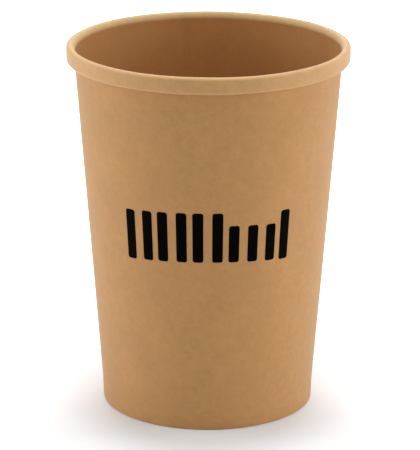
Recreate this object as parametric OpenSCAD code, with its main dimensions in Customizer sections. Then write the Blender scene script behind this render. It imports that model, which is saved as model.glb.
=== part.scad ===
// Paper soup cup: a tapered sidewall of kraft board with a rolled rim and a folded foot,
// a base disc held up in the foot, and a row of printed bars on the front.
// Millimetres. The cup stands on z = 0 with its axis on z, and its print faces -y.

/* [Cup] */
// Height of the cup, from the table to the top of the rim
cup_h = 136.5; // [100:0.5:170]
// Radius of the cup over its rolled rim
rim_r = 52.1; // [46:0.1:58]
// Radius of the foot at the table
foot_r = 39.2; // [34:0.1:43]
// Lean of the pressed foot, in degrees
foot_lean = 2.4; // [0:0.1:4]

/* [Paper] */
// Thickness of the sidewall's board
wall_t = 0.5; // [0.35:0.05:0.6]
// Thickness of the base disc's board
disc_t = 0.4; // [0.3:0.05:0.5]
// Thickness of the seal between two layers of board
seal_t = 0.03; // [0.01:0.01:0.06]

/* [Rolled rim] */
// Height of the roll
roll_h = 6.2; // [5:0.1:8]
// Radius of the roll's outer shoulder
shoulder_r = 1.7; // [1.4:0.05:2]
// Radius of the roll's inner lip
lip_r = 1.45; // [1.2:0.05:1.7]
// Height of the paper's edge inside the roll, over the roll's bottom
tail_h = 3.2; // [2:0.1:3.8]
// Clearance between the paper's edge inside the roll and the wall
tail_clear = 0.15; // [0.05:0.05:0.3]

/* [Foot] */
// Inner radius of the two bends of the fold that the cup stands on
fold_inner_r = 0.1; // [0.06:0.01:0.14]
// Gap between the edge of the hem, the fold's inner layer, and the bend of the base disc
hem_gap = 0.4; // [0.1:0.1:3]

/* [Base disc] */
// Height of the disc's upper face over the table
disc_z = 9; // [6:0.1:14]
// Radius of the bend between the disc and its skirt
disc_bend_r = 1; // [0.6:0.1:1.2]

/* [Side seam] */
// Width of the overlap at the foot of the wall
lap_w = 7.2; // [4:0.1:12]
// Azimuth of the edge of the overlap's inner layer
lap_azimuth = 101; // [60:1:150]
// Height that the overlap reaches up behind the roll, over its lowest point
lap_rise = 0.3; // [0.1:0.05:0.4]

/* [Print] */
// Height of the foot of the middle bars over the table
print_z = 66.2; // [30:0.2:90]
// Drop of the row's two ends under its middle
row_bow = 1.5; // [0:0.1:3]
// Height of the tall bars
tall_h = 18.9; // [8:0.1:30]
// Height of the short bars
short_h = 14; // [6:0.1:24]
// Width of a bar
bar_w = 3.9; // [2:0.1:5]
// Gap between two bars of a group
bar_gap = 3.2; // [1:0.1:5]
// Gap between two groups of bars
group_gap = 2.1; // [1:0.1:5]
// Radius of the bars' corners
bar_corner_r = 0.9; // [0.2:0.05:0.95]
// Thickness of the printed ink
ink_t = 0.08; // [0.05:0.01:0.12]

/* [Hidden] */
$fn = 144;
kraft = [0.70, 0.53, 0.36];
kraft_inside = [0.62, 0.45, 0.28];
ink = [0.05, 0.05, 0.05];

// Derived places in the section keep to a thousandth, so that its bends and straights share their ends
function snap(x) = round(x * 1000) / 1000;

// The foot's layers, from the outside in: wall, seal, skirt, seal and hem
foot_w = 2 * wall_t + 2 * seal_t + disc_t;
fold_r = wall_t + fold_inner_r;
function foot_out(z) = snap(foot_r + (z - fold_r) * tan(foot_lean));
function skirt_out(z) = foot_out(z) - wall_t - seal_t;
function hem_out(z) = skirt_out(z) - disc_t - seal_t;
disc_bend_z = disc_z - disc_bend_r;
hem_z = disc_bend_z - hem_gap;

// The wall runs straight from the top of the pressed foot to the lip's bend
crest_r = rim_r - shoulder_r;
lip_z = cup_h - lip_r;
wall_foot_r = foot_out(disc_z);
wall_lip_r = crest_r - lip_r + wall_t;
slope = (wall_lip_r - wall_foot_r) / (lip_z - disc_z);
function wall_out(z) = wall_foot_r + (z - disc_z) * slope;

// The roll's lower bend goes round from the outer face to the edge that stands beside the wall
roll_z = cup_h - roll_h;
tail_z = roll_z + tail_h;
under_r = snap((rim_r - wall_out(tail_z) - tail_clear) / 2);
under_c = [rim_r - under_r, roll_z + under_r];
tail_r = rim_r - 2 * under_r + wall_t;

// The overlap, and the angle past it that its outer layer takes to come back to the wall
lap_angle = lap_w / wall_foot_r * 180 / PI;
lap_top = roll_z + lap_rise;
ramp_r = (wall_foot_r + wall_out(lap_top)) / 2;
ramp_angle = acos(ramp_r / (ramp_r + wall_t));
dent_z = disc_z + disc_t;
dent_top = lip_z - 2 * wall_t;
plane_sink = 0.02;
reach = 2 * cup_h;

// The print, as the number of bars in each group and their height
bar_groups = [[2, tall_h], [2, tall_h], [2, tall_h], [3, short_h], [1, tall_h]];
function group_w(i) = bar_groups[i][0] * (bar_w + bar_gap) - bar_gap;
function group_x(i) = i == 0 ? 0 : group_x(i - 1) + group_w(i - 1) + group_gap;
function bar_x(i, j) = group_x(i) + j * (bar_w + bar_gap) + bar_w / 2;
print_r = wall_out(print_z + tall_h / 2) + ink_t;
print_w = group_x(len(bar_groups) - 1) + group_w(len(bar_groups) - 1);
function along_print(x) = (x - print_w / 2) / print_r * 180 / PI;
function bar_z(x) = print_z - row_bow * pow(2 * x / print_w - 1, 2);
print_half_angle = along_print(print_w + bar_w);
cut_depth = 8;

// A quarter bend of paper in the section, round a centre, on the side of it that the signs give
module quarter_bend(centre, outer_r, t, r_sign, z_sign) {
    translate(centre)
        mirror([r_sign < 0 ? 1 : 0, 0])
            mirror([0, z_sign < 0 ? 1 : 0])
                difference() {
                    intersection() {
                        circle(r = outer_r);
                        square(2 * outer_r);
                    }
                    circle(r = outer_r - t);
                }
}

// A straight upright stretch of paper in the section, given by its lower and upper outer radius
module upright(low, high, t) {
    polygon([
        [low[0] - t, low[1]],
        low,
        high,
        [high[0] - t, high[1]]
    ]);
}

// The sheet's wall in the section, from the fold to the lip's bend
module wall_section() {
    polygon([
        [foot_r - wall_t, fold_r],
        [foot_r, fold_r],
        [wall_foot_r, disc_z],
        [wall_lip_r, lip_z],
        [wall_lip_r - wall_t, lip_z],
        [wall_foot_r - wall_t, disc_z]
    ]);
}

// The roll in the section: lip, shoulder, outer face, lower bend and the edge inside
module roll_section() {
    quarter_bend([crest_r, lip_z], lip_r, wall_t, -1, 1);
    quarter_bend([crest_r, cup_h - shoulder_r], shoulder_r, wall_t, 1, 1);
    upright([rim_r, under_c[1]], [rim_r, cup_h - shoulder_r], wall_t);
    quarter_bend(under_c, under_r, wall_t, 1, -1);
    quarter_bend(under_c, under_r, wall_t, -1, -1);
    upright([tail_r, under_c[1]], [tail_r, tail_z], wall_t);
}

// The fold under the foot in the section, with the hem that goes up inside the skirt
module foot_section() {
    quarter_bend([foot_r - fold_r, fold_r], fold_r, wall_t, 1, -1);
    translate([foot_r - foot_w + fold_r, 0])
        square([foot_w - 2 * fold_r, wall_t]);
    quarter_bend([foot_r - foot_w + fold_r, fold_r], fold_r, wall_t, -1, -1);
    upright([hem_out(fold_r), fold_r], [hem_out(hem_z), hem_z], wall_t);
}

// The overlap's outer layer in the section, rooted in the wall
module overlap_section() {
    root = wall_t / 2;
    polygon([
        [foot_r - root, fold_r],
        [foot_r + wall_t, fold_r],
        [wall_foot_r + wall_t, disc_z],
        [wall_out(lap_top) + wall_t, lap_top],
        [wall_out(lap_top) - root, lap_top],
        [wall_foot_r - root, disc_z]
    ]);
}

// The hollow beside the overlap's inner edge in the section, from inside the cup to one layer deep
module dent_section() {
    polygon([
        [wall_out(dent_z) - 2 * wall_t, dent_z],
        [wall_out(dent_z), dent_z],
        [wall_out(dent_top), dent_top],
        [wall_out(dent_top) - 2 * wall_t, dent_top]
    ]);
}

// A sector of a solid of revolution, from one azimuth over an angle
module sector(from, angle) {
    rotate([0, 0, from])
        rotate_extrude(angle = angle)
            children();
}

// All that lies inside the plane which leans with the wall's cone of a radius and just cuts it
module inside_plane(azimuth, cone_r) {
    rotate([0, 0, azimuth])
        translate([cone_r - plane_sink, 0, disc_z])
            rotate([0, atan(slope), 0])
                translate([-reach, -reach / 2, -reach])
                    cube([reach, reach, 2 * reach]);
}

// The overlap's outer layer, which comes back to the wall past the inner layer's edge
module lap() {
    sector(lap_azimuth - lap_angle, lap_angle)
        overlap_section();
    intersection() {
        sector(lap_azimuth - lap_angle / 2, lap_angle / 2 + ramp_angle)
            overlap_section();
        inside_plane(lap_azimuth + ramp_angle, wall_foot_r);
    }
}

// The hollow that the outer layer leaves inside, beside the inner layer's edge
module dent() {
    intersection() {
        sector(lap_azimuth, ramp_angle)
            dent_section();
        inside_plane(lap_azimuth + ramp_angle, wall_foot_r - wall_t);
    }
}

// The sheet that makes the wall, the rolled rim and the folded foot
module sidewall() {
    color(kraft)
        difference() {
            union() {
                rotate_extrude() {
                    wall_section();
                    roll_section();
                    foot_section();
                }
                lap();
            }
            dent();
        }
}

// The disc that closes the cup, with its skirt turned down between the wall and the hem
module base_disc() {
    bend_r = skirt_out(disc_bend_z) - disc_bend_r;
    skirt_z = fold_r + seal_t;
    color(kraft_inside)
        rotate_extrude() {
            translate([0, disc_z - disc_t])
                square([bend_r, disc_t]);
            quarter_bend([bend_r, disc_bend_z], disc_bend_r, disc_t, 1, 1);
            upright([skirt_out(skirt_z), skirt_z], [skirt_out(disc_bend_z), disc_bend_z], disc_t);
        }
}

// The outline of a bar, standing on y = 0
module bar_outline(h) {
    flat_w = bar_w - 2 * bar_corner_r;
    translate([-flat_w / 2, 0])
        square([flat_w, h]);
    translate([-bar_w / 2, bar_corner_r])
        square([bar_w, h - 2 * bar_corner_r]);
    for (x = [-flat_w / 2, flat_w / 2], y = [bar_corner_r, h - bar_corner_r])
        translate([x, y])
            circle(r = bar_corner_r);
}

// The printed bars, a film of ink on the front of the wall
module printed_bars() {
    margin = 1;
    low = print_z - row_bow - margin;
    high = print_z + tall_h + margin;
    color(ink)
        intersection() {
            sector(-90 - print_half_angle, 2 * print_half_angle)
                polygon([
                    [wall_out(low), low],
                    [wall_out(low) + ink_t, low],
                    [wall_out(high) + ink_t, high],
                    [wall_out(high), high]
                ]);
            for (i = [0 : len(bar_groups) - 1], j = [0 : bar_groups[i][0] - 1])
                rotate([0, 0, along_print(bar_x(i, j))])
                    translate([0, cut_depth / 2 - print_r, bar_z(bar_x(i, j))])
                        rotate([90, 0, 0])
                            linear_extrude(height = cut_depth)
                                bar_outline(bar_groups[i][1]);
        }
}

sidewall();
base_disc();
printed_bars();
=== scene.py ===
import math

import bpy
from mathutils import Matrix, Vector


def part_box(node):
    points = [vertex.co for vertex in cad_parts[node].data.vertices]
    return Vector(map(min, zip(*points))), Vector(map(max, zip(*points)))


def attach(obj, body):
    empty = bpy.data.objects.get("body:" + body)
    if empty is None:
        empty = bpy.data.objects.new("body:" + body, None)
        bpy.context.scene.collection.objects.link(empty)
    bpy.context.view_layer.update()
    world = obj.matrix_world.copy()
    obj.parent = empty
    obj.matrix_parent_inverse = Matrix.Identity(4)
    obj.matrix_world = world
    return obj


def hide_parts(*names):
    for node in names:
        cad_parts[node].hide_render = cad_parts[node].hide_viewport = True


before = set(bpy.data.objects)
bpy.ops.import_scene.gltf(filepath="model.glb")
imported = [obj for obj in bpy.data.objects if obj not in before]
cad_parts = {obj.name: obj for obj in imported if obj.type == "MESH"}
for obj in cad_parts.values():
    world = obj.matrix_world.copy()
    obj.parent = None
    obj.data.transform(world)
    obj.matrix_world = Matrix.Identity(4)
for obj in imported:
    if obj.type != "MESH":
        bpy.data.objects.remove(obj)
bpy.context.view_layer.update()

MM = 0.001
TAU = 2 * math.pi
CREASE_ANGLE = math.radians(40)

# The cup's driving sizes, from the frame where it shows them
CUP_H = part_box("sidewall")[1].z
RIM_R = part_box("sidewall")[1].x
FOOT_R = 39.2 * MM
FOOT_LEAN = math.radians(2.4)
WALL_T = 0.5 * MM
DISC_T = 0.4 * MM
SEAL_T = 0.03 * MM

# The rolled rim
ROLL_H = 6.2 * MM
SHOULDER_R = 1.7 * MM
SHOULDER_H = 1.05 * MM
LIP_R = 1.45 * MM
FLARE_H = 2.9 * MM
FLARE_BOX = 2.3
TAIL_H = 3.2 * MM
TAIL_CLEAR = 0.15 * MM

# The folded foot and the base disc
FOLD_INNER_R = 0.1 * MM
HEM_GAP = 0.4 * MM
DISC_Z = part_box("base_disc")[1].z
DISC_BEND_R = 1.0 * MM
DISC_CROWN = 0.35 * MM

# The side seam, whose inner layer is pressed thin towards its edge
LAP_W = 7.2 * MM
LAP_AZIMUTH = math.radians(101)
PRESS_W = 3.0 * MM
PRESS_IN = 0.15 * MM
PRESS_OUT = 0.25 * MM
# The share of its step that fades out in the roll, and the length of sheet that this takes
STEP_FADE = 0.85
STEP_FADE_S = 4 * MM

# The print
PRINT_Z = 66.2 * MM
ROW_BOW = 1.5 * MM
TALL_H = 18.9 * MM
SHORT_H = 14.0 * MM
BAR_W = 3.9 * MM
BAR_GAP = 3.2 * MM
GROUP_GAP = 2.1 * MM
BAR_CORNER_R = 0.9 * MM
INK_T = 0.05 * MM
BAR_GROUPS = [(2, TALL_H), (2, TALL_H), (2, TALL_H), (3, SHORT_H), (1, TALL_H)]

# How far the paper strays from its true round: waves round the cup, phase, twist in radians a metre and size
ROUND_WAVES = [(2, 0.7, 9, 0.07 * MM), (3, 2.1, -14, 0.05 * MM), (7, -1.3, 31, 0.02 * MM)]
# How far the rim's height strays: waves round the cup, phase and size, and how low it sits on average
RIM_WAVES = [(3, 1, 0.05 * MM), (8, 2, 0.03 * MM)]
RIM_DROP = 0.08 * MM

# Colours of the board's faces, 0 to 255: outside; inside, the coating's colour painted darker as painted shade;
# the soft lip, painted lighter as a painted highlight; the roll's outside, painted lighter as painted light; and
# the cut edges
OUTSIDE_SHADE = (195, 143, 86)
INSIDE_PAINTED_SHADE = (189, 136, 78)
LIP_PAINTED_HIGHLIGHT = (216, 179, 127)
ROLL_PAINTED_LIGHT = (203, 154, 97)
CORE_SHADE = (205, 166, 118)
SHEEN_SHADE = (255, 244, 226)
SHEEN_ROUGHNESS = 0.55
INK_SHADES = ((3, 3, 3), (9, 8, 8))
# The fibres' directions on the sheet, in degrees, and how close they lie along and across themselves
FIBRE_TURNS = (12, 74, -47)
FIBRE_SCALE = (320, 2300, 1)

# The floor, and its glow to the eye: each stretch of a distance adds a share of white
FLOOR_COLOUR = (0.89, 0.91, 0.94, 1.0)
FLOOR_SIZE = 6.0
FLOOR_DROP = 0.02 * MM
GLOW_COLOUR = (0.95, 0.98, 1.0, 1.0)
GLOW_OVAL = (1.0, 0.72, 0.0)
GLOW_NEAR = (38 * MM, 56 * MM, 0.18)
GLOW_FAR = (56 * MM, 200 * MM, 0.8)
GLOW_BEHIND = (-42 * MM, 4 * MM, 0.22)

# The light: the world's strength, and soft boxes with their place and size in metres and power in watts
WORLD_LIGHT = 0.26
SOFT_BOXES = [
    ("box_left", (-0.85, 0.0, 0.22), (0.7, 0.7), 4.6),
    ("box_right", (0.85, 0.0, 0.22), (0.7, 0.7), 3.8),
    ("box_front_right", (0.7, -0.5, 0.3), (0.6, 0.6), 0.8),
    ("box_top", (0.03, 0.0, 0.95), (0.5, 0.5), 4.4),
    ("box_top_back", (0.0, 0.75, 0.8), (0.9, 0.6), 2.2),
]

# The camera, from the outline of the cup in the photograph, in the cup's heights and in degrees
CAMERA_BACK = 7.79875
CAMERA_UP = 2.93583
CAMERA_RIGHT = 0.00193
CAMERA_DIP = 17.4256
CAMERA_TURN = 0.02865
CAMERA_ROLL = 0.204
FOCAL_PIXELS = 2991.19
PICTURE_H = 450
SENSOR = 36.0

# Places that follow from the sizes, as in the part
FOLD_R = WALL_T + FOLD_INNER_R
FOOT_W = 2 * WALL_T + 2 * SEAL_T + DISC_T
CREST_R = RIM_R - SHOULDER_R
LIP_Z = CUP_H - LIP_R
ROLL_Z = CUP_H - ROLL_H
DISC_BEND_Z = DISC_Z - DISC_BEND_R


def foot_out(z):
    """Radius of the pressed foot's outer face at a height"""
    return FOOT_R + (z - FOLD_R) * math.tan(FOOT_LEAN)


WALL_FOOT_R = foot_out(DISC_Z)
WALL_LIP_R = CREST_R - LIP_R + WALL_T
SLOPE = (WALL_LIP_R - WALL_FOOT_R) / (LIP_Z - DISC_Z)


def wall_out(z):
    """Radius of the wall's outer face at a height over the foot"""
    return WALL_FOOT_R + (z - DISC_Z) * SLOPE


UNDER_R = (RIM_R - wall_out(ROLL_Z + TAIL_H) - TAIL_CLEAR) / 2
LAP_ANGLE = LAP_W / WALL_FOOT_R
RAMP_ANGLE = math.acos(wall_out(CUP_H / 2) / (wall_out(CUP_H / 2) + WALL_T - PRESS_OUT))


def smooth(x):
    """Rises smoothly from 0 to 1"""
    x = min(max(x, 0.0), 1.0)
    return x * x * (3 - 2 * x)


def wobble(azimuth, z):
    """How far the paper stands out of its true round: a little on the wall, less at the stiff ends"""
    free = smooth((z - DISC_Z) / (40 * MM)) * (1 - 0.5 * smooth((z - 100 * MM) / (30 * MM)))
    stray = sum(size * math.sin(waves * azimuth + phase + twist * z) for waves, phase, twist, size in ROUND_WAVES)
    return free * stray


def crest_wobble(azimuth, z):
    """How far the rim's height strays round the cup"""
    stray = sum(size * math.sin(waves * azimuth + phase) for waves, phase, size in RIM_WAVES)
    return smooth((z - ROLL_Z) / ROLL_H) * (stray - RIM_DROP)


def straight(a, b, steps):
    """Points of the sheet's inner face along a straight, each with its direction"""
    length = math.hypot(b[0] - a[0], b[1] - a[1])
    way = ((b[0] - a[0]) / length, (b[1] - a[1]) / length)
    points = []
    for i in range(steps + 1):
        points.append((a[0] + (b[0] - a[0]) * i / steps, a[1] + (b[1] - a[1]) * i / steps, *way))
    return points


def arc(centre, radius, start, end, steps):
    """Points of the sheet's inner face round a bend, each with its direction"""
    turn = 1 if end > start else -1
    points = []
    for i in range(steps + 1):
        a = math.radians(start + (end - start) * i / steps)
        points.append((
            centre[0] + radius * math.cos(a),
            centre[1] + radius * math.sin(a),
            -turn * math.sin(a),
            turn * math.cos(a),
        ))
    return points


def flare():
    """The inner face from the wall over the soft inner lip to the crest, a quarter of a boxy upright ellipse"""
    low = CUP_H - FLARE_H
    width = CREST_R - wall_out(low) + WALL_T
    steps = 16
    spots = []
    for i in range(steps + 1):
        a = math.pi / 2 * i / steps
        inwards = abs(math.cos(a)) ** (2 / FLARE_BOX)
        spots.append((CREST_R - width * inwards, low + FLARE_H * math.sin(a) ** (2 / FLARE_BOX)))
    points = [(*spots[0], 0.0, 1.0)]
    for before, spot, after in zip(spots, spots[1:], spots[2:]):
        way = (after[0] - before[0], after[1] - before[1])
        length = math.hypot(*way)
        points.append((*spot, way[0] / length, way[1] / length))
    return points + [(*spots[-1], 1.0, 0.0)]


def shoulder():
    """The inner face from the crest over the firm outer shoulder to the roll's upright face"""
    points = []
    for i in range(13):
        a = math.pi / 2 * i / 12
        way = (SHOULDER_R * math.cos(a), -SHOULDER_H * math.sin(a))
        length = math.hypot(*way)
        spot = (CREST_R + SHOULDER_R * math.sin(a), CUP_H - SHOULDER_H * (1 - math.cos(a)))
        points.append((*spot, way[0] / length, way[1] / length))
    return points


def joined(stretches):
    """One run of points from stretches that meet, with each shared point once"""
    run = list(stretches[0])
    for stretch in stretches[1:]:
        run += stretch[1:]
    return run


def sheet_path():
    """The inner face of the sheet in section: hem, fold, wall, lip, shoulder, face, under bend and tail"""
    hem_z = DISC_BEND_Z - HEM_GAP
    hem_low = (FOOT_R - FOOT_W + WALL_T, FOLD_R)
    hem_high = (hem_low[0] + (hem_z - FOLD_R) * math.tan(FOOT_LEAN), hem_z)
    inner_c = (FOOT_R - FOOT_W + FOLD_R, FOLD_R)
    outer_c = (FOOT_R - FOLD_R, FOLD_R)
    under_c = (RIM_R - UNDER_R, ROLL_Z + UNDER_R)
    flare_z = CUP_H - FLARE_H
    return joined([
        straight(hem_high, hem_low, 3),
        arc(inner_c, FOLD_INNER_R, 180, 270, 3),
        straight((inner_c[0], WALL_T), (outer_c[0], WALL_T), 1),
        arc(outer_c, FOLD_INNER_R, -90, 0, 3),
        straight((FOOT_R - WALL_T, FOLD_R), (WALL_FOOT_R - WALL_T, DISC_Z), 4),
        straight((WALL_FOOT_R - WALL_T, DISC_Z), (wall_out(flare_z) - WALL_T, flare_z), 28),
        flare(),
        shoulder(),
        straight((RIM_R, CUP_H - SHOULDER_H), (RIM_R, under_c[1]), 3),
        arc(under_c, UNDER_R, 0, -180, 14),
        straight((RIM_R - 2 * UNDER_R, under_c[1]), (RIM_R - 2 * UNDER_R, ROLL_Z + TAIL_H), 2),
    ])


def run_lengths(path):
    """Length along a path to each of its points"""
    lengths = [0.0]
    for a, b in zip(path, path[1:]):
        lengths.append(lengths[-1] + math.hypot(b[0] - a[0], b[1] - a[1]))
    return lengths


def length_to(height):
    """Length along the sheet's path to its first point above a height"""
    path = sheet_path()
    return next(s for point, s in zip(path, run_lengths(path)) if point[1] > height)


ROLL_S = length_to(ROLL_Z)
FLARE_S = length_to(CUP_H - FLARE_H)
CREST_S = length_to(CUP_H - 0.01 * MM)


def mesh_object(name, verts, faces, mats, slots=None, uvs=None):
    """A shaded mesh object, with sharp edges where it turns by more than the crease angle"""
    mesh = bpy.data.meshes.new(name)
    mesh.from_pydata(verts, [], faces)
    for mat in mats:
        mesh.materials.append(mat)
    if slots:
        mesh.polygons.foreach_set("material_index", slots)
    if uvs:
        layer = mesh.uv_layers.new(name="paper")
        for loop in mesh.loops:
            layer.data[loop.index].uv = uvs[loop.vertex_index]
    mesh.shade_smooth()
    mesh.set_sharp_from_angle(angle=CREASE_ANGLE)
    made = bpy.data.objects.new(name, mesh)
    bpy.context.scene.collection.objects.link(made)
    return made


def pressed(angle):
    """How fully the seam's hot press has thinned the inner layer, at an angle before its edge"""
    return 1 - smooth(angle * WALL_FOOT_R / PRESS_W)


def layer_lift(angle):
    """How far the sheet stands out as the seam's outer layer, over the inner layer and past its edge"""
    past = angle - LAP_AZIMUTH
    if past <= 0:
        return WALL_T - PRESS_OUT * pressed(-past)
    return (WALL_T - PRESS_OUT) * max(0.0, 1 - past / RAMP_ANGLE) ** 2


def make_sidewall(board, coated, core, rolled):
    """The whole sheet, wound once round the cup and over itself at the seam"""
    mats = [board, coated, core, rolled]
    outer_slot, inner_slot, edge_slot, rolled_slot = range(len(mats))
    path = sheet_path()
    count = len(path)
    start = LAP_AZIMUTH - LAP_ANGLE
    end = LAP_AZIMUTH + TAU
    turns = 400
    lengths = run_lengths(path)
    verts, uvs = [], []
    for i in range(turns + 1):
        angle = start + (end - start) * i / turns
        press = pressed(LAP_AZIMUTH + TAU - angle)
        for side in (PRESS_IN * press, WALL_T - PRESS_OUT * press):
            for (r, z, way_r, way_z), s in zip(path, lengths):
                out_r, out_z = way_z, -way_r
                lift = layer_lift(angle) * (1 - STEP_FADE * smooth((s - ROLL_S) / STEP_FADE_S))
                grown = r + (lift + side) * out_r + wobble(angle, z)
                height = z + (lift * (z > DISC_Z) + side) * out_z + crest_wobble(angle, z)
                verts.append((grown * math.cos(angle), grown * math.sin(angle), height))
                uvs.append((angle * WALL_LIP_R, s))
    ring = 2 * count
    faces, slots = [], []
    for i in range(turns):
        a, b = i * ring, (i + 1) * ring
        for j in range(count - 1):
            faces.append((a + j, a + j + 1, b + j + 1, b + j))
            slots.append(inner_slot if lengths[j] < FLARE_S else rolled_slot)
            faces.append((a + count + j, b + count + j, b + count + j + 1, a + count + j + 1))
            slots.append(outer_slot)
        for j in (0, count - 1):
            quad = (a + j, b + j, b + count + j, a + count + j)
            faces.append(quad if j == 0 else quad[::-1])
            slots.append(edge_slot)
    for base, flip in ((0, False), (turns * ring, True)):
        for j in range(count - 1):
            quad = (base + j, base + count + j, base + count + j + 1, base + j + 1)
            faces.append(quad[::-1] if flip else quad)
            slots.append(edge_slot)
    return mesh_object("sheet_sidewall", verts, faces, mats, slots, uvs)


def make_base_disc(coated, board):
    """The base disc, slightly crowned by the press, with its skirt turned down"""
    mats = [coated, board]
    upper_slot, lower_slot = range(len(mats))
    skirt_top = foot_out(DISC_BEND_Z) - WALL_T - SEAL_T
    skirt_low = foot_out(FOLD_R + SEAL_T) - WALL_T - SEAL_T
    bend_r = skirt_top - DISC_BEND_R
    rings = 14
    crown = []
    for i in range(rings + 1):
        share = i / rings
        crown.append((bend_r * share, DISC_Z - DISC_CROWN * (1 - share**2) ** 2, 1.0, 0.0))
    path = joined([
        crown,
        arc((bend_r, DISC_BEND_Z), DISC_BEND_R, 90, 0, 6),
        straight((skirt_top, DISC_BEND_Z), (skirt_low, FOLD_R + SEAL_T), 2),
    ])
    turns = 192
    verts = []
    for side in (0, DISC_T):
        verts.append((0, 0, path[0][1] - side))
        for i in range(turns):
            angle = TAU * i / turns
            for r, z, way_r, way_z in path[1:]:
                grown = r + side * way_z
                verts.append((grown * math.cos(angle), grown * math.sin(angle), z - side * way_r))
    uvs = [(v[0], v[1]) for v in verts]
    count = len(path) - 1
    sheet = 1 + turns * count
    faces, slots = [], []
    for i in range(turns):
        a, b = 1 + i * count, 1 + (i + 1) % turns * count
        faces.append((0, a, b))
        slots.append(upper_slot)
        faces.append((sheet, sheet + b, sheet + a))
        slots.append(lower_slot)
        for j in range(count - 1):
            faces.append((a + j, a + j + 1, b + j + 1, b + j))
            slots.append(upper_slot)
            faces.append((sheet + a + j, sheet + b + j, sheet + b + j + 1, sheet + a + j + 1))
            slots.append(lower_slot)
        last = count - 1
        faces.append((a + last, sheet + a + last, sheet + b + last, b + last))
        slots.append(lower_slot)
    return mesh_object("disc_base", verts, faces, mats, slots, uvs)


def bar_rows(height):
    """Heights along a bar with its half width there, close together at the rounded corners"""
    bends = 6
    rows = []
    for i in range(bends + 1):
        a = math.pi / 2 * i / bends
        rows.append((BAR_CORNER_R * (1 - math.cos(a)), BAR_W / 2 - BAR_CORNER_R * (1 - math.sin(a))))
    middle = [(BAR_CORNER_R + (height - 2 * BAR_CORNER_R) * i / 6, BAR_W / 2) for i in range(1, 6)]
    return rows + middle + [(height - z, half) for z, half in reversed(rows)]


def make_bars(ink):
    """The printed bars, a thin film that follows the wall"""
    width = sum(number * (BAR_W + BAR_GAP) - BAR_GAP for number, _ in BAR_GROUPS)
    width += GROUP_GAP * (len(BAR_GROUPS) - 1)
    middle_r = wall_out(PRINT_Z + TALL_H / 2)
    cells = 8
    verts, faces = [], []
    x = -width / 2
    for number, height in BAR_GROUPS:
        for _ in range(number):
            rows = bar_rows(height)
            base = len(verts)
            foot = PRINT_Z - ROW_BOW * ((2 * x + BAR_W) / width) ** 2
            for lift in (INK_T, -INK_T):
                for z, half in rows:
                    for k in range(cells + 1):
                        along = x + BAR_W / 2 + half * (2 * k / cells - 1)
                        angle = along / middle_r - math.pi / 2
                        r = wall_out(foot + z) + wobble(angle, foot + z) + lift
                        verts.append((r * math.cos(angle), r * math.sin(angle), foot + z))
            faces += film_faces(base, len(rows), cells + 1)
            x += BAR_W + BAR_GAP
        x += GROUP_GAP - BAR_GAP
    return mesh_object("ink_bars", verts, faces, [ink])


def film_faces(base, rows, columns):
    """Faces of a closed film: an outer grid, an inner grid behind it and the edge between them"""
    back = base + rows * columns
    faces = []
    for i in range(rows - 1):
        for k in range(columns - 1):
            a = i * columns + k
            quad = (a, a + 1, a + columns + 1, a + columns)
            faces.append(tuple(base + n for n in quad))
            faces.append(tuple(back + n for n in reversed(quad)))
    edge = list(range(columns))
    edge += [i * columns + columns - 1 for i in range(1, rows)]
    edge += [(rows - 1) * columns + k for k in range(columns - 2, -1, -1)]
    edge += [i * columns for i in range(rows - 2, 0, -1)]
    for a, b in zip(edge, edge[1:] + edge[:1]):
        faces.append((base + b, base + a, back + a, back + b))
    return faces


def add(tree, kind, inputs=None, **settings):
    """Adds a shader node with its settings, and the values or links of its inputs"""
    made = tree.nodes.new("ShaderNode" + kind)
    for key, value in settings.items():
        setattr(made, key, value)
    for key, value in (inputs or {}).items():
        if isinstance(value, bpy.types.NodeSocket):
            tree.links.new(value, made.inputs[key])
        else:
            made.inputs[key].default_value = value
    return made


def linear(r, g, b):
    """A colour of the screen, 0 to 255, as a shader colour"""
    def channel(c):
        c /= 255
        return c / 12.92 if c <= 0.04045 else ((c + 0.055) / 1.055) ** 2.4
    return (channel(r), channel(g), channel(b), 1.0)


def new_material(name):
    """A material with its node tree, shader and output"""
    mat = bpy.data.materials.new(name)
    mat.use_nodes = True
    tree = mat.node_tree
    tree.nodes.clear()
    shader = add(tree, "BsdfPrincipled")
    output = add(tree, "OutputMaterial")
    tree.links.new(shader.outputs["BSDF"], output.inputs["Surface"])
    return mat, tree, shader


def noise(tree, coords, scale, detail=3.0, roughness=0.55):
    """The value of a noise, with features of about 1 / scale metres"""
    settings = {"Scale": scale, "Detail": detail, "Roughness": roughness}
    return add(tree, "TexNoise", {"Vector": coords, **settings}).outputs["Fac"]


def fibres(tree, coords, turn):
    """The value of a noise drawn out into fibres, which lie at an angle on the sheet"""
    turned = add(tree, "VectorRotate", {"Vector": coords, "Angle": math.radians(turn)}, rotation_type="Z_AXIS")
    drawn = add(tree, "VectorMath", {0: turned.outputs["Vector"], 1: FIBRE_SCALE}, operation="MULTIPLY")
    return noise(tree, drawn.outputs[0], 1, 4, 0.6)


def remap(tree, value, low, high, to_low, to_high):
    """A value moved from one range to another, and held inside it"""
    ends = {"From Min": low, "From Max": high, "To Min": to_low, "To Max": to_high}
    return add(tree, "MapRange", {"Value": value, **ends}).outputs["Result"]


def math_node(tree, operation, a, b):
    """The result of one sum on two values"""
    return add(tree, "Math", {0: a, 1: b}, operation=operation).outputs[0]


def vary(tree, light, value, low, high, change):
    """A strength, changed by up to a share down and up as a value goes through a range"""
    return math_node(tree, "MULTIPLY", light, remap(tree, value, low, high, 1 - change, 1 + change))


def blend(tree, share, a, b, mode="MIX"):
    """Two colours mixed by a share"""
    made = add(tree, "Mix", {0: share, 6: a, 7: b}, data_type="RGBA", blend_type=mode)
    return made.outputs[2]


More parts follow.
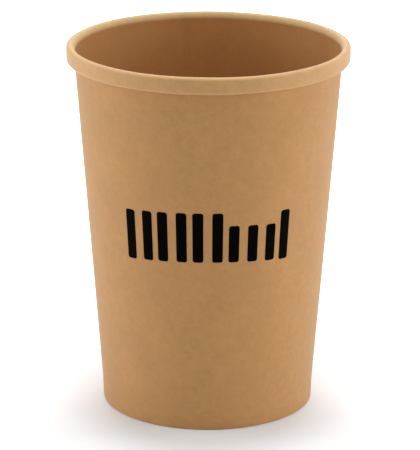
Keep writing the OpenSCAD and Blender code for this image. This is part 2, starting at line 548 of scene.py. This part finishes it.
def paper(name, shade, roughness, specular, sheen, grain=1.0, bands=()):
    """Kraft board: clouds and mottle of the pulp, long fibres, sparse specks and a felted surface

    Each band is a shade that takes over between two lengths of the sheet's path; on the rim the bands are painted
    light, a painted highlight over the lip and a lighter roll.
    """
    mat, tree, shader = new_material(name)
    place = add(tree, "TexCoord")
    solid = place.outputs["Object"]
    flat = place.outputs["UV"]
    cloud = noise(tree, solid, 75, 3, 0.5)
    mottle = noise(tree, solid, 330, 5, 0.65)
    fleck = noise(tree, solid, 1500, 3, 0.6)
    felt = [fibres(tree, flat, turn) for turn in FIBRE_TURNS]
    speck = noise(tree, solid, 620, 2, 0.4)

    colour = linear(*shade)
    for band_shade, from_s, to_s in bands:
        along = add(tree, "SeparateXYZ", {0: flat}).outputs["Y"]
        colour = blend(tree, remap(tree, along, from_s, to_s, 0.0, 1.0), colour, linear(*band_shade))
    light = vary(tree, 1.0, cloud, 0.3, 0.7, 0.035)
    light = vary(tree, light, mottle, 0.25, 0.75, 0.08 * grain)
    for layer in felt:
        light = vary(tree, light, layer, 0.3, 0.7, 0.028 * grain)
    light = vary(tree, light, fleck, 0.3, 0.7, 0.025)
    light = math_node(tree, "MULTIPLY", light, remap(tree, speck, 0.765, 0.82, 1.0, 0.6))
    strength = add(tree, "CombineColor", {"Red": light, "Green": light, "Blue": light})
    colour = blend(tree, 1.0, colour, strength.outputs["Color"], "MULTIPLY")
    tree.links.new(colour, shader.inputs["Base Color"])

    rough = remap(tree, mottle, 0.3, 0.7, roughness - 0.05, roughness + 0.05)
    tree.links.new(rough, shader.inputs["Roughness"])
    shader.inputs["Specular IOR Level"].default_value = specular
    shader.inputs["Sheen Weight"].default_value = sheen
    shader.inputs["Sheen Roughness"].default_value = SHEEN_ROUGHNESS
    shader.inputs["Sheen Tint"].default_value = linear(*SHEEN_SHADE)

    height = math_node(tree, "MULTIPLY", mottle, 1.5)
    for layer in felt:
        height = math_node(tree, "ADD", height, layer)
    bump = add(tree, "Bump", {"Height": height, "Strength": 0.25 * grain, "Distance": 0.05 * MM})
    tree.links.new(bump.outputs["Normal"], shader.inputs["Normal"])
    return mat


def ink_material():
    """Flat black ink, which lets a little of the paper's felt through"""
    mat, tree, shader = new_material("black_ink")
    solid = add(tree, "TexCoord").outputs["Object"]
    mottle = noise(tree, solid, 700, 4, 0.6)
    dark, pale = (linear(*shade) for shade in INK_SHADES)
    colour = blend(tree, remap(tree, mottle, 0.35, 0.75, 0.0, 1.0), dark, pale)
    tree.links.new(colour, shader.inputs["Base Color"])
    tree.links.new(remap(tree, mottle, 0.3, 0.7, 0.5, 0.62), shader.inputs["Roughness"])
    shader.inputs["Specular IOR Level"].default_value = 0.01
    bump = add(tree, "Bump", {"Height": mottle, "Strength": 0.15, "Distance": 0.03 * MM})
    tree.links.new(bump.outputs["Normal"], shader.inputs["Normal"])
    return mat


def seen_directly(tree):
    """1 for what is seen straight, in a reflection or through something, 0 for light that falls on the cup"""
    ray = add(tree, "LightPath")
    seen = math_node(tree, "MAXIMUM", ray.outputs["Is Camera Ray"], ray.outputs["Is Glossy Ray"])
    return math_node(tree, "MAXIMUM", seen, ray.outputs["Is Transmission Ray"])


def floor_material():
    """A pale matt floor, with a glow to the eye only, so that it is white round the soft shadow"""
    mat, tree, shader = new_material("pale_floor")
    place = add(tree, "TexCoord").outputs["Object"]
    behind = add(tree, "SeparateXYZ", {0: place}).outputs["Y"]
    flat = add(tree, "VectorMath", {0: place, 1: GLOW_OVAL}, operation="MULTIPLY")
    away = add(tree, "VectorMath", {0: flat.outputs[0]}, operation="LENGTH").outputs["Value"]
    glow = 0.0
    for value, (low, high, share) in ((away, GLOW_NEAR), (away, GLOW_FAR), (behind, GLOW_BEHIND)):
        glow = math_node(tree, "ADD", glow, remap(tree, value, low, high, 0.0, share))
    shader.inputs["Base Color"].default_value = FLOOR_COLOUR
    shader.inputs["Roughness"].default_value = 0.9
    shader.inputs["Specular IOR Level"].default_value = 0.0
    shader.inputs["Emission Color"].default_value = GLOW_COLOUR
    tree.links.new(math_node(tree, "MULTIPLY", glow, seen_directly(tree)), shader.inputs["Emission Strength"])
    return mat


def make_floor():
    """The floor that the cup stands on"""
    half = FLOOR_SIZE / 2
    verts = [(x * half, y * half, -FLOOR_DROP) for x, y in ((-1, -1), (1, -1), (1, 1), (-1, 1))]
    floor = mesh_object("floor", verts, [(0, 1, 2, 3)], [floor_material()])


def make_world():
    """White for the camera and for what is seen in or through things, an even soft light for the rest"""
    world = bpy.data.worlds.new("studio")
    bpy.context.scene.world = world
    world.use_nodes = True
    tree = world.node_tree
    tree.nodes.clear()
    strength = remap(tree, seen_directly(tree), 0.0, 1.0, WORLD_LIGHT, 1.0)
    back = add(tree, "Background", {"Color": (1, 1, 1, 1), "Strength": strength})
    output = add(tree, "OutputWorld")
    tree.links.new(back.outputs["Background"], output.inputs["Surface"])


def make_lights():
    """Soft boxes that face the cup's middle: large on both sides and overhead, weak behind and in front"""
    middle = Vector((0, 0, 0.5 * CUP_H))
    for name, place, size, power in SOFT_BOXES:
        data = bpy.data.lights.new(name, "AREA")
        data.shape = "RECTANGLE"
        data.size, data.size_y = size
        data.energy = power
        made = bpy.data.objects.new(name, data)
        made.location = place
        made.rotation_euler = (middle - Vector(place)).to_track_quat("-Z", "Y").to_euler()
        bpy.context.scene.collection.objects.link(made)


def make_camera():
    """The camera at the photograph's place"""
    data = bpy.data.cameras.new("camera")
    data.sensor_fit = "VERTICAL"
    data.sensor_height = SENSOR
    data.lens = FOCAL_PIXELS / PICTURE_H * SENSOR
    camera = bpy.data.objects.new("camera", data)
    camera.location = (CAMERA_RIGHT * CUP_H, -CAMERA_BACK * CUP_H, CAMERA_UP * CUP_H)
    aim = Matrix.Rotation(math.radians(-CAMERA_TURN), 3, "Z")
    aim = aim @ Matrix.Rotation(math.radians(90 - CAMERA_DIP), 3, "X")
    aim = aim @ Matrix.Rotation(math.radians(CAMERA_ROLL), 3, "Z")
    camera.rotation_euler = aim.to_euler()
    bpy.context.scene.collection.objects.link(camera)
    bpy.context.scene.camera = camera


bpy.context.scene.view_settings.view_transform = "Standard"
# Painted light along the rim's sheet: a painted highlight over the soft inner lip, then the roll's outside
# painted lighter
painted_light_bands = [
    (LIP_PAINTED_HIGHLIGHT, FLARE_S - 0.2 * MM, FLARE_S + 1.0 * MM),
    (ROLL_PAINTED_LIGHT, CREST_S, CREST_S + 1.4 * MM),
]
board = paper("kraft_board", OUTSIDE_SHADE, roughness=0.75, specular=0.3, sheen=0.33)
# The coated face inside the cup and on the disc, its colour darkened as painted shade
coated = paper("kraft_coated", INSIDE_PAINTED_SHADE, roughness=0.6, specular=0.3, sheen=0.04, grain=0.8)
core = paper("kraft_core", CORE_SHADE, roughness=0.9, specular=0.1, sheen=0.1, grain=1.4)
# The rolled rim: from the inside's painted shade over a painted highlight on the lip to the roll's outside,
# painted lighter as painted light
rolled = paper("kraft_rolled", INSIDE_PAINTED_SHADE, roughness=0.6, specular=0.4, sheen=0.3, grain=0.9, bands=painted_light_bands)
sidewall = make_sidewall(board, coated, core, rolled)
base_disc = make_base_disc(coated, board)
bars = make_bars(ink_material())
for piece, node, slot in (
    (sidewall, "sidewall", "kraft_board"),
    (base_disc, "base_disc", "base_board"),
    (bars, "printed_bars", "black_ink"),
):
    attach(piece, "root")
    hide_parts(node)

make_floor()
make_world()
make_lights()
make_camera()
